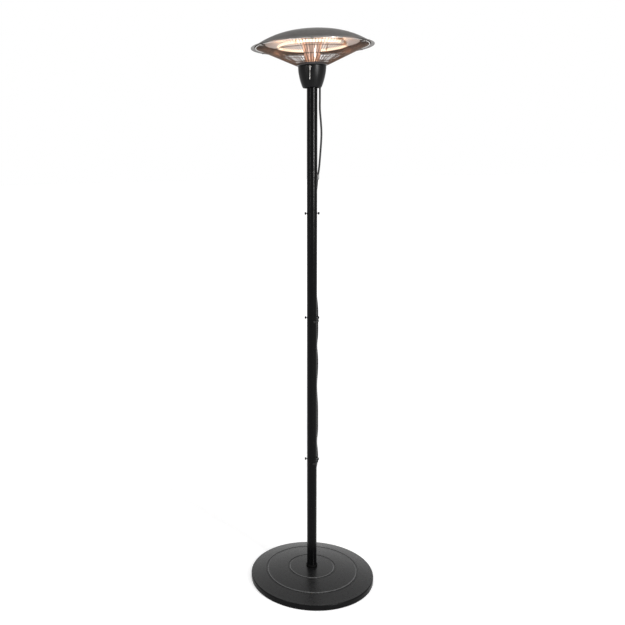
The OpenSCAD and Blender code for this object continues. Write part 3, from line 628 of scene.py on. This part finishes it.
bm = bmesh.new()
stops = [0.007] + [0.015 + 0.0055 * k for k in range(40)]
stops = [r for r in stops if r < BASE_R - EDGE_ROUND - 0.002]
stops = [r for r in stops if all(abs(r - at) > 0.0075 for at in GROOVES)]
for at in GROOVES:
    stops += [at + 0.0005 * k for k in range(-14, 9)]
stops = sorted(stops) + [BASE_R - EDGE_ROUND]
profile = [(r, base_top(r)) for r in stops]
for k in range(1, 9):
    a = math.radians(90 - 90 * k / 8)
    r = BASE_R - EDGE_ROUND + EDGE_ROUND * math.cos(a)
    profile.append((r, EDGE_H - EDGE_ROUND + EDGE_ROUND * math.sin(a)))
profile += [(BASE_R, 0.0026), (BASE_R - 0.0005, 0.0018), (BASE_R - 0.0018, 0.0015), (BASE_R - 0.0025, 0.0022)]
profile += [
    (BASE_R - 0.0025, 0.018), (BASE_R - 0.006, 0.0215), (0.200, 0.0300), (0.120, 0.0410),
    (0.007, 0.0465),
]
add_lathe(bm, profile, 256)
stands_for(finish_mesh("base_shell", bm, MATERIALS["base_paint"], 28), "base_paint", "base_cover")

bm = bmesh.new()
profile = [
    (0.2395, 0.0), (0.2400, 0.0004), (0.2400, 0.0015), (0.2220, 0.0015), (0.2220, 0.0004),
    (0.2225, 0.0),
]
for r in (0.226, 0.230, 0.234, 0.238):
    profile += [(r - 0.0006, 0.0), (r - 0.0004, 0.0005), (r + 0.0004, 0.0005), (r + 0.0006, 0.0)]
add_lathe(bm, profile, 192)
stands_for(finish_mesh("rubber_ring", bm, MATERIALS["rubber"]), "rubber", "foot_ring")

bm = bmesh.new()
profile = [
    (0.01906, 0.049), (0.0213, 0.049), (0.0221, 0.0502), (0.0221, 0.0560), (0.0216, 0.0569),
    (0.0202, 0.0588), (0.0198, 0.0590), (0.01906, 0.0590),
]
add_lathe(bm, profile, 96)
stands_for(finish_mesh("foot_cover", bm, MATERIALS["matt_plastic"]), "black_plastic", "foot_collar")


# ---------------------------------------------------------------- pole

POLE_R, POLE_IN, POLE_STEPS = 0.0190, 0.0175, 24
JOINTS = (0.506, 1.072, 1.464)
SEAMS = [0.049] + [z + 0.012 for z in JOINTS] + [1.960]
for i in range(4):
    low, high = SEAMS[i], SEAMS[i + 1]
    bm = bmesh.new()
    profile = [(POLE_R - 0.0005, low), (POLE_R, low + 0.0006)]
    profile += [(POLE_R, low + (high - low) * k / POLE_STEPS) for k in range(1, POLE_STEPS)]
    profile += [(POLE_R, high - 0.0006), (POLE_R - 0.0005, high), (POLE_IN, high), (POLE_IN, low)]
    add_lathe(bm, profile, 96)
    tube = finish_mesh(f"pole_tube_{i + 1}", bm, MATERIALS["pole_paint"], 28)
    stands_for(tube, "pole_paint", f"pole_section_{i + 1}")

bm = bmesh.new()
for z in JOINTS:
    for s in (-1, 1):
        turn = Matrix.Rotation(s * math.pi / 2, 3, "Y")
        shank = [(0, 0.0135), (0.0020, 0.0135)]
        for k in range(10):
            shank += [(0.0021, 0.0139 + 0.0008 * k), (0.00245, 0.0143 + 0.0008 * k)]
        add_lathe(bm, shank + [(0.0024, 0.0221), (0, 0.0221)], 32, (0, 0, z), turn, closed=False)
stands_for(finish_mesh("joint_screw_shanks", bm, MATERIALS["zinc_steel"]), "zinc_steel")


def knurl(r, h, a):
    """Thirty shallow grips round the barrel of a joint screw's head."""
    depth = 0.00028 if 0.0042 < r and 0.0227 < h < 0.0258 else 0
    return (r - depth * (0.5 + 0.5 * math.cos(30 * a)), h)


bm = bmesh.new()
for z in JOINTS:
    for s in (-1, 1):
        turn = Matrix.Rotation(s * math.pi / 2, 3, "Y")
        head = [
            (0, 0.0220), (0.0044, 0.0220), (0.0050, 0.0226), (0.0050, 0.0233), (0.0050, 0.0243),
            (0.0050, 0.0253),
        ]
        head += [
            (0.0049, 0.0261), (0.0044, 0.0269), (0.0034, 0.0275), (0.0024, 0.0275),
            (0.0021, 0.0269), (0, 0.0269),
        ]
        add_lathe(bm, head, 120, (0, 0, z), turn, closed=False, radius_at=knurl)
screw_heads = finish_mesh("joint_screw_heads", bm, MATERIALS["matt_plastic"], 40)
stands_for(screw_heads, "black_plastic", "joint_screws")

softened("cable_saddle", "grey_plastic", MATERIALS["saddle_plastic"], 0.0004)
softened("cable_clip_mid", "black_plastic", MATERIALS["black_plastic"], 0.0004)
softened("cable_clip_low", "black_plastic", MATERIALS["black_plastic"], 0.0004)
softened("cord_bracket", "black_plastic", MATERIALS["black_plastic"], 0.0006)


# ---------------------------------------------------------------- collar and pull switch

COLLAR_Z, COLLAR_H, COLLAR_STEPS, WALL = 1.910, 0.075, 36, 0.0016
PULL_X, PULL_Y, OUTLET_Z, ELBOW_R = -0.008, -0.0545, 1.978, 0.0017
OUTLET_BORE, OUTLET_HOLE = 0.0012, 0.0031
BEAD_R, BEAD_PITCH, CHAIN_R = 0.00072, 0.0019, 0.00032


def collar_r(z):
    """Radius of the collar's outside at height z."""
    return 0.033 + 0.017 * math.sin(math.radians(90 * (z - COLLAR_Z) / COLLAR_H)) ** 0.85


bm = bmesh.new()
heights = [COLLAR_Z + COLLAR_H * k / COLLAR_STEPS for k in range(1, COLLAR_STEPS)]
profile = [(collar_r(COLLAR_Z) - 0.0005, COLLAR_Z), (collar_r(COLLAR_Z) + 0.0002, COLLAR_Z + 0.0004)]
profile += [(collar_r(z), z) for z in heights]
profile += [
    (0.0499, 1.9840), (0.0495, 1.9847), (0.0488, 1.9850), (0.039, 1.9850), (0.039, 1.9820),
    (0.0482, 1.9820),
]
profile += [(collar_r(z) - WALL, z) for z in reversed(heights[:-1])]
profile += [(collar_r(COLLAR_Z) - WALL, COLLAR_Z)]
add_lathe(bm, profile, 160)
collar = finish_mesh("collar_cover", bm, MATERIALS["collar_paint"], 30)
bored(collar, (PULL_X, -0.055, OUTLET_Z), (PULL_X, -0.044, OUTLET_Z), OUTLET_HOLE, 30)
stands_for(collar, "collar_paint", "collar_shell")

bm = bmesh.new()
profile = [
    (0.0101, 1.9850), (0.0498, 1.9850), (0.0522, 1.9856), (0.0542, 1.9866), (0.0552, 1.9880),
    (0.0568, 1.9922), (0.0570, 1.9930),
]
profile += [
    (0.0554, 1.9930), (0.0549, 1.9926), (0.0532, 1.9886), (0.0522, 1.9878), (0.0492, 1.9871),
    (0.0480, 1.9870), (0.0101, 1.9870),
]
add_lathe(bm, profile, 160)
stands_for(finish_mesh("dish", bm, MATERIALS["dish_paint"], 40), "dish_paint", "ring_plate")

bm = bmesh.new()
path = [(PULL_X, y, OUTLET_Z) for y in (-0.0432, -0.0475, -0.0505, -0.0525)]
for k in range(9):
    a = math.radians(90 * k / 8)
    path.append((PULL_X, PULL_Y + ELBOW_R * (1 - math.sin(a)), OUTLET_Z - ELBOW_R * (1 - math.cos(a))))
path += [(PULL_X, PULL_Y, z) for z in (1.9735, 1.9700, 1.9672, 1.9660)]
add_pipe(bm, path, [0.0016] * (len(path) - 2) + [0.0018, 0.0015], OUTLET_BORE, 24)
back = Matrix.Rotation(math.pi / 2, 3, "X")
nut = [
    (0.0016, 0.0493), (0.0032, 0.0493), (0.0035, 0.0500), (0.0035, 0.0506), (0.0031, 0.0510),
    (0.0024, 0.0511), (0.0016, 0.0511),
]
add_lathe(bm, nut, 48, (PULL_X, 0, OUTLET_Z), back)
stands_for(finish_mesh("outlet_tube", bm, MATERIALS["nickel"], 45), "nickel", "cord_outlet")

bm = bmesh.new()
arc = [math.radians(a) for a in (0, 25, 50, 75, 105, 130, 155, 180)]
bead = [(BEAD_R * math.sin(a), BEAD_R * math.cos(a)) for a in arc]
for k in range(8):
    add_lathe(bm, bead, 14, (PULL_X, PULL_Y, 1.9760 - BEAD_PITCH * k), closed=False)
add_tube(bm, [(PULL_X, PULL_Y, 1.9764), (PULL_X, PULL_Y, 1.9690), (PULL_X, PULL_Y, 1.9612)], CHAIN_R, 10)
stands_for(finish_mesh("bead_chain", bm, MATERIALS["nickel"]), "nickel", "pull_cord", body="pull")

bm = bmesh.new()
knob = [
    (0, 1.9620), (0.0006, 1.9620), (0.0008, 1.9616), (0.0010, 1.9600), (0.0010, 1.9590),
    (0.0008, 1.9585), (0.0008, 1.9580), (0.0010, 1.9575),
]
knob += [
    (0.00105, 1.9540), (0.0011, 1.9480), (0.0012, 1.9420), (0.0014, 1.9370), (0.0015, 1.9355),
    (0.0014, 1.9340), (0.0011, 1.9333), (0.0007, 1.9330), (0, 1.9330),
]
add_lathe(bm, knob, 48, (PULL_X, PULL_Y, 0), closed=False)
stands_for(finish_mesh("pull_handle", bm, MATERIALS["nickel"], 40), "nickel", "pull_knob", body="pull")


# ---------------------------------------------------------------- head

CAP_Z, CAP_R, DOME_RISE = 2.054, 0.205, 0.0515
BRIM_R, BRIM_Z, BRIM_ROLL = 0.2166, 2.0498, 0.00085
COLUMN_TOP, WAIST = 2.076, 2.015


def dome_z(r):
    """Height of the dome's outside at radius r."""
    return CAP_Z + DOME_RISE * (1 - (r / CAP_R) ** 2.5)


bm = bmesh.new()
radii = [0.0] + [CAP_R * (k / 48) for k in range(1, 49)]
profile = [(r, dome_z(r)) for r in radii]
profile += [(0.2100, 2.0526), (0.2150, 2.0512), (0.2166, 2.0508)]
for k in range(9):
    a = math.radians(80 - 32 * k)
    profile.append((BRIM_R + BRIM_ROLL * math.cos(a), BRIM_Z + BRIM_ROLL * math.sin(a)))
profile += [(0.2150, 2.0500), (0.2100, 2.0512)]
profile += [(r, dome_z(r) - 0.0015) for r in reversed(radii)]
add_lathe(bm, profile, 256, closed=False)
shade = stands_for(finish_mesh("shade_dome", bm, MATERIALS["shade_paint"], 50), "shade_paint", "dome_shade")
shade.data.materials.append(MATERIALS["painted_shade_inside"])
# The dome's underside faces take the painted shade.
for face in shade.data.polygons:
    if face.normal.z < -0.2 and math.hypot(face.center.x, face.center.y) < 0.2055:
        face.material_index = 1

bm = bmesh.new()
for angle in (90, 210, 330):
    a = math.radians(angle)
    z = dome_z(0.0354)
    head = [(0.0019, z - 0.0250), (0.0019, z), (0.0045, z), (0.0046, z + 0.0004)]
    head += [(0.0042, z + 0.0012), (0.0034, z + 0.0017), (0.0026, z + 0.0018)]
    add_screw_head(bm, head, 0.0017, 0.0011, (0.040 * math.cos(a), 0.040 * math.sin(a), 0), 48)
stands_for(finish_mesh("shade_screws", bm, MATERIALS["zinc_steel"], 30), "zinc_steel", "dome_screws")


def reflector_z(r):
    """Height of the reflector at radius r: flat, then slightly rising, then falling to the rim."""
    if r < 0.044:
        return COLUMN_TOP
    if r < 0.095:
        return COLUMN_TOP + 0.004 * (r - 0.044) / 0.051
    return COLUMN_TOP + 0.004 - 0.018 * (r - 0.095) / 0.071


def flutes(r, z, a):
    """Pressed pleats of the reflector, which run out at its middle and its rim."""
    rise, fall = (r - 0.048) / 0.02, (0.1655 - r) / 0.004
    depth = 0.0009 * min(1.0, max(0.0, rise)) * min(1.0, max(0.0, fall))
    return (r, z + depth * (abs((a * 72 / math.pi) % 2 - 1) - 0.5))


bm = bmesh.new()
radii = [
    0.0103, 0.030, 0.044, 0.048, 0.056, 0.066, 0.080, 0.095, 0.110, 0.125, 0.140, 0.152, 0.160,
    0.164, 0.1655, 0.1660,
]
profile = [(r, reflector_z(r)) for r in radii] + [(r, reflector_z(r) + 0.0010) for r in reversed(radii)]
add_lathe(bm, profile, 576, radius_at=flutes)
reflector = finish_mesh("reflector_dish", bm, MATERIALS["polished_aluminium"], 12)
stands_for(reflector, "polished_aluminium", "reflector")


def column_r(z):
    """Radius of the waisted column in the head at height z."""
    if z > WAIST:
        return 0.0275 + 0.013 * ((z - WAIST) / 0.057) ** 2
    return 0.0275 + 0.004 * ((WAIST - z) / 0.028) ** 2


bm = bmesh.new()
levels = [1.987 + (COLUMN_TOP - 1.987) * k / 40 for k in range(41)]
profile = []
for z in levels:
    bead = 0.0005 * math.exp(-((z - 2.0565) / 0.0009) ** 2) + 0.0005 * math.exp(-((z - 1.9905) / 0.0009) ** 2)
    profile.append((column_r(z) + bead, z))
profile += [(column_r(z) - 0.0012, z) for z in reversed(levels)]
add_lathe(bm, profile, 160)
stands_for(finish_mesh("column_cover", bm, MATERIALS["column_metal"], 35), "polished_aluminium", "column")

# The guard's wires lie on the straight line through these two (radius, height) points.
LOW, TOP = (0.0544, 1.9868), (0.199, 2.0525)
SLOPE = math.atan2(TOP[1] - LOW[1], TOP[0] - LOW[0])
GUARD_WIRES, WIRE_R, WIRE_END, SHORT_FROM = 108, 0.00108, 0.1994, 0.111


def guard_z(r):
    """Height of the guard's wires at radius r."""
    return LOW[1] + (TOP[1] - LOW[1]) * (r - LOW[0]) / (TOP[0] - LOW[0])


bm = bmesh.new()
for k in range(GUARD_WIRES):
    a = math.radians(360 * k / GUARD_WIRES)
    start = LOW[0] if k % 2 == 0 else SHORT_FROM
    radii = [start + (WIRE_END - start) * i / 6 for i in range(7)] + [0.2000]
    add_tube(bm, [(r * math.cos(a), r * math.sin(a), guard_z(r)) for r in radii], WIRE_R, 8)
stands_for(finish_mesh("guard_spokes", bm, MATERIALS["guard_chrome"], 60), "guard_chrome", "guard_wires")

# The rim hoop takes the paler metal as a painted highlight; the other hoops take the guard's own metal.
for name, metal, hoops in (
    ("guard_hoops", "guard_chrome", tuple((r, 0.0020, 0.0010) for r in (0.070, 0.112, 0.155))),
    ("guard_rim", "rim_highlight_chrome", ((0.199, -0.0023, 0.0015),)),
):
    bm = bmesh.new()
    for r, up, thick in hoops:
        at_r, at_z = r - up * math.sin(SLOPE), guard_z(r) + up * math.cos(SLOPE)
        round_bar = [math.radians(30 * k) for k in range(12)]
        section = [(at_r + thick * math.cos(a), at_z + thick * math.sin(a)) for a in round_bar]
        add_lathe(bm, section, 192)
    stands_for(finish_mesh(name, bm, MATERIALS[metal], 60), "guard_chrome", "guard_rings")
softened("guard_clips", "zinc_steel", MATERIALS["clip_steel"], 0.0002)

# The lamp's ring, and the gap in it: the bearing of its middle and half its width, in degrees.
LAMP_Z, LAMP_R, GAP_AT, GAP = 2.053, 0.120, -27.0, 9.0
TUBE_R, TUBE_STEPS = 0.0045, 200
COIL_R, COIL_WIRE_R, COIL_TURNS, COIL_STEPS = 0.0014, 0.0003, 240, 10


def on_lamp(degrees, z=LAMP_Z):
    """Point on the lamp's circle at a bearing."""
    a = math.radians(degrees)
    return (LAMP_R * math.cos(a), LAMP_R * math.sin(a), z)


bm = bmesh.new()
arc = [on_lamp(GAP_AT + GAP + (360 - 2 * GAP) * k / TUBE_STEPS) for k in range(TUBE_STEPS + 1)]
add_tube(bm, arc, TUBE_R, 20)
stands_for(finish_mesh("lamp_ring", bm, MATERIALS["quartz"], 60), "quartz", "lamp_tube")

bm = bmesh.new()
points = []
for k in range(COIL_TURNS * COIL_STEPS + 1):
    a = math.radians(GAP_AT + GAP - 1 + (362 - 2 * GAP) * k / (COIL_TURNS * COIL_STEPS))
    w = 2 * math.pi * k / COIL_STEPS
    r, z = LAMP_R + COIL_R * math.cos(w), LAMP_Z + COIL_R * math.sin(w)
    points.append((r * math.cos(a), r * math.sin(a), z))
add_tube(bm, points, COIL_WIRE_R, 4)
stands_for(finish_mesh("lamp_coil", bm, MATERIALS["filament"], 90), "filament", "lamp_filament")

softened("lamp_end_caps", "ceramic", MATERIALS["ceramic"], 0.0005)
softened("lamp_bracket", "bracket_steel", MATERIALS["bracket_steel"], 0.0004)
softened("lamp_clips", "bracket_steel", MATERIALS["bracket_steel"], 0.0002)


# ---------------------------------------------------------------- studio

# The floor glows more with distance, so that it meets the white background: the glow near and far,
# and where it starts and ends to rise, as shares of the floor's radius.
FLOOR_R, FLOOR_GLOW = 90.0, (0.34, 0.75, 0.01, 0.06)
# Grey levels of the surroundings that the object mirrors, from straight down (0) to straight up (1).
SKY_DOWN, SKY_UP = 0.22, 0.40
SKY_BANDS = ((0.42, 0.24), (0.47, 0.60), (0.52, 0.82), (0.60, 0.82), (0.74, 0.50), (0.90, 0.34))
LIGHTS_AIM = Vector((0, 0, 1.3))
GLOW_LIGHTS, GLOW_POWER, GLOW_DROP, GLOW_COLOUR = 12, 0.035, 0.010, (1.0, 0.5, 0.28)

bm = bmesh.new()
add_lathe(bm, [(0, 0), (0.5, 0), (2, 0), (8, 0), (30, 0), (FLOOR_R, 0)], 96, closed=False)
floor_shader = Shader("studio_floor", Roughness=0.8, Specular_IOR_Level=0.1, Emission_Color=(1, 1, 1, 1))
away = floor_shader.node("ShaderNodeVectorMath", [("Vector", floor_shader.place)], operation="LENGTH")
share = floor_shader.node("ShaderNodeMapRange", [("Value", away.outputs["Value"])], **{"From Max": FLOOR_R})
near_far = floor_shader.ramp(share.outputs[0], *FLOOR_GLOW)
floor_shader.tree.links.new(near_far, floor_shader.bsdf.inputs["Emission Strength"])
floor_shader.colour(floor_shader.noise(1.2, 2), (0.86, 0.86, 0.86), (0.88, 0.88, 0.88))
studio_floor = finish_mesh("studio_floor", bm, floor_shader.material)

world = bpy.data.worlds.new("studio")
bpy.context.scene.world = world
world.use_nodes = True
tree = world.node_tree
background = tree.nodes["Background"]
background.inputs["Strength"].default_value = 1.0
where = tree.nodes.new("ShaderNodeTexCoord")
split = tree.nodes.new("ShaderNodeSeparateXYZ")
height = tree.nodes.new("ShaderNodeMapRange")
height.inputs["From Min"].default_value = -1.0
sky = tree.nodes.new("ShaderNodeValToRGB")
sky.color_ramp.elements[0].position = 0.0
sky.color_ramp.elements[0].color = (SKY_DOWN, SKY_DOWN, SKY_DOWN, 1)
sky.color_ramp.elements[1].position = 1.0
sky.color_ramp.elements[1].color = (SKY_UP, SKY_UP, SKY_UP, 1)
for at, grey in SKY_BANDS:
    sky.color_ramp.elements.new(at).color = (grey, grey, grey, 1)
tree.links.new(where.outputs["Generated"], split.inputs[0])
tree.links.new(split.outputs["Z"], height.inputs["Value"])
tree.links.new(height.outputs[0], sky.inputs["Fac"])
tree.links.new(sky.outputs["Color"], background.inputs["Color"])
seen = tree.nodes.new("ShaderNodeBackground")
seen.inputs["Color"].default_value = (1, 1, 1, 1)
path_kind = tree.nodes.new("ShaderNodeLightPath")
mix = tree.nodes.new("ShaderNodeMixShader")
tree.links.new(path_kind.outputs["Is Camera Ray"], mix.inputs["Fac"])
tree.links.new(background.outputs[0], mix.inputs[1])
tree.links.new(seen.outputs[0], mix.inputs[2])
tree.links.new(mix.outputs[0], tree.nodes["World Output"].inputs["Surface"])


def add_light(name, kind, place, power, colour=(1, 1, 1), **values):
    """Light that lights the scene without showing itself."""
    data = bpy.data.lights.new(name, kind)
    data.energy, data.color = power, colour
    for key, value in values.items():
        setattr(data, key, value)
    obj = bpy.data.objects.new(name, data)
    bpy.context.scene.collection.objects.link(obj)
    obj.location, obj.visible_camera = place, False
    return obj


def soft_light(name, azimuth, distance, height, width, tall, power):
    """Soft box at a bearing from the front, aimed at the upper half of the object."""
    a = math.radians(azimuth)
    place = Vector((distance * math.sin(a), -distance * math.cos(a), height))
    obj = add_light(name, "AREA", place, power, shape="RECTANGLE", size=width, size_y=tall)
    obj.rotation_mode = "QUATERNION"
    obj.rotation_quaternion = (LIGHTS_AIM - place).to_track_quat("-Z", "Y")
    return obj


soft_light("key", 44, 3.6, 2.2, 0.4, 2.0, 70)
soft_light("fill", -44, 3.6, 2.2, 0.3, 2.0, 30)
soft_light("top", 10, 1.6, 4.2, 2.2, 2.2, 60)
soft_light("strip", 40, 3.6, 1.85, 0.26, 0.9, 90).visible_diffuse = False

for k in range(GLOW_LIGHTS):
    place = on_lamp(360 // GLOW_LIGHTS * k + 3, z=LAMP_Z - GLOW_DROP)
    add_light(f"glow_{k}", "POINT", place, GLOW_POWER, GLOW_COLOUR, shadow_soft_size=0.012)
glow_up = add_light("glow_up", "AREA", (0, 0, 2.018), 0.06, (1.0, 0.80, 0.70), shape="DISK", size=0.30)
glow_up.rotation_euler = (math.pi, 0, 0)

bpy.context.scene.view_settings.view_transform = "Standard"
